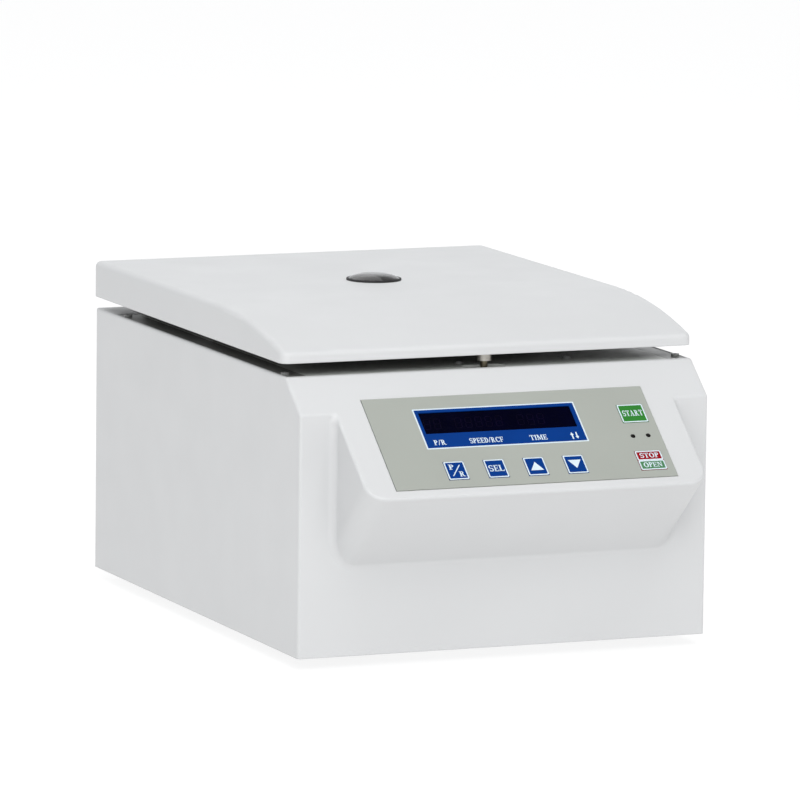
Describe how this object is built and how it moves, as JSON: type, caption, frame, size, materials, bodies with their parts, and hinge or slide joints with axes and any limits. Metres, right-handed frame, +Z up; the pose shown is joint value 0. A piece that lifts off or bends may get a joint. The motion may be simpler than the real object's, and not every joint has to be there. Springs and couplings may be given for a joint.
{
  "type": "laboratory centrifuge",
  "caption": "Benchtop laboratory centrifuge: white casing with sloped keypad console, hinged lid with round window, angle rotor under a screw-down cover, and motorised lid lock.",
  "frame": {"origin": "on the table under the middle of the outline box", "axes": "+X to the right seen from the front, +Y to the back, +Z up; the console faces -Y"},
  "size_m": [0.3024, 0.4517, 0.2336],
  "materials": {
    "white_paint": "smooth satin white enamel",
    "deck_enamel": "semi-gloss pale enamel with a dark strip along each side",
    "dark_liner": "matt black plastic",
    "zinc_steel": "zinc-plated sheet steel",
    "stainless": "brushed stainless steel",
    "black_rubber": "matt rubber",
    "screw_steel": "bright plated steel",
    "coated_screws": "grey coated steel",
    "motor_paint": "dark grey enamel",
    "cast_cover": "machined aluminium",
    "laminations": "stacked iron sheets",
    "copper": "enamelled copper wire",
    "rotor_aluminium": "anodised aluminium",
    "black_knob": "glossy black plastic",
    "smoked_window": "smoked clear plastic",
    "overlay_grey": "fine-grained grey facing",
    "display_dark": "dark blue-black window",
    "display_block": "black plastic",
    "blue_key": "blue print",
    "green_key": "green print",
    "red_key": "red and green print",
    "lamp_dark": "dark lens",
    "board_green": "green circuit board",
    "black_plastic": "black plastic",
    "brass_pins": "plated brass",
    "solenoid_wrap": "taped coil"
  },
  "bodies": {
    "casing": {"casing": "white_paint", "deck_plate": "deck_enamel", "base_plate": "zinc_steel", "rubber_feet": "black_rubber", "rear_panel": "white_paint", "base_screws": "screw_steel", "panel_screws": "coated_screws", "chamber_bowl": "stainless", "chamber_seal": "black_rubber", "guard_ring": "zinc_steel", "guard_posts": "zinc_steel", "motor_housing": "motor_paint", "motor_cover": "cast_cover", "motor_bearings": "screw_steel", "motor_plate": "zinc_steel", "rubber_mounts": "black_rubber", "stator_core": "laminations", "stator_windings": "copper", "drive_boot": "black_rubber", "hinge_bases": "zinc_steel", "hinge_pins": "screw_steel", "lock_bracket": "zinc_steel", "lock_solenoid": "solenoid_wrap", "lock_sensor": "black_plastic", "keypad_overlay": "overlay_grey", "display_window": "display_dark", "display_module": "display_block", "key_switches": "black_plastic", "indicator_lamps": "lamp_dark", "control_board": "board_green", "board_posts": "zinc_steel", "power_inlet": "black_plastic", "inlet_pins": "brass_pins", "switch_frame": "black_plastic", "driver_board": "board_green"},
    "spindle": {"motor_shaft": "screw_steel", "motor_rotor": "laminations", "angle_rotor": "rotor_aluminium", "rotor_bolt": "screw_steel"},
    "rotor_cover": {"rotor_lid": "rotor_aluminium", "rotor_lid_seal": "black_rubber"},
    "knob": {"rotor_knob": "black_knob", "knob_clip": "screw_steel"},
    "lid": {"lid_shell": "white_paint", "lid_liner": "dark_liner", "lid_plate": "zinc_steel", "window_grommet": "black_rubber", "viewing_window": "smoked_window", "hinge_leaves": "zinc_steel", "lid_screws": "screw_steel", "lid_striker": "screw_steel"},
    "lock": {"lock_slide": "zinc_steel", "lock_plunger": "screw_steel"},
    "rocker": {"power_rocker": "black_knob"},
    "key_program": {"key_program": "blue_key"},
    "key_select": {"key_select": "blue_key"},
    "key_up": {"key_up": "blue_key"},
    "key_down": {"key_down": "blue_key"},
    "key_start": {"key_start": "green_key"},
    "key_stop": {"key_stop": "red_key"}
  },
  "joints": [
    {"name": "lid_hinge", "type": "hinge", "parent": "casing", "child": "lid", "pos_m": [0, 0.22145, 0.1993], "axis": [-1, 0, 0], "range_deg": [0, 75]},
    {"name": "spindle_spin", "type": "hinge", "parent": "casing", "child": "spindle", "pos_m": [0, 0.06995, 0.12], "axis": [0, 0, 1], "continuous": true},
    {"name": "rotor_lid_lift", "type": "slide", "parent": "spindle", "child": "rotor_cover", "axis": [0, 0, 1], "range_m": [0, 0.0045]},
    {"name": "rotor_knob_turn", "type": "hinge", "parent": "rotor_cover", "child": "knob", "pos_m": [0, 0.06995, 0.19], "axis": [0, 0, 1], "range_deg": [0, 1080]},
    {"name": "lock_slide_move", "type": "slide", "parent": "casing", "child": "lock", "axis": [-1, 0, 0], "range_m": [0, 0.008], "stiffness_N_per_m": 120, "springref_m": -0.003},
    {"name": "power_rocker_tip", "type": "hinge", "parent": "casing", "child": "rocker", "pos_m": [-0.056, 0.22075, 0.044], "axis": [-1, 0, 0], "range_deg": [0, 14]},
    {"name": "key_program_press", "type": "slide", "parent": "casing", "child": "key_program", "axis": [0, 0.6293, -0.7771], "range_m": [0, 0.0005], "stiffness_N_per_m": 1500, "springref_m": -0.0003},
    {"name": "key_select_press", "type": "slide", "parent": "casing", "child": "key_select", "axis": [0, 0.6293, -0.7771], "range_m": [0, 0.0005], "stiffness_N_per_m": 1500, "springref_m": -0.0003},
    {"name": "key_up_press", "type": "slide", "parent": "casing", "child": "key_up", "axis": [0, 0.6293, -0.7771], "range_m": [0, 0.0005], "stiffness_N_per_m": 1500, "springref_m": -0.0003},
    {"name": "key_down_press", "type": "slide", "parent": "casing", "child": "key_down", "axis": [0, 0.6293, -0.7771], "range_m": [0, 0.0005], "stiffness_N_per_m": 1500, "springref_m": -0.0003},
    {"name": "key_start_press", "type": "slide", "parent": "casing", "child": "key_start", "axis": [0, 0.6293, -0.7771], "range_m": [0, 0.0005], "stiffness_N_per_m": 1500, "springref_m": -0.0003},
    {"name": "key_stop_press", "type": "slide", "parent": "casing", "child": "key_stop", "axis": [0, 0.6293, -0.7771], "range_m": [0, 0.0005], "stiffness_N_per_m": 1500, "springref_m": -0.0003}
  ],
  "couplings": [
    {"joint": "rotor_knob_turn", "follows": "rotor_lid_lift", "rad_per_m": 4188.8}
  ]
}
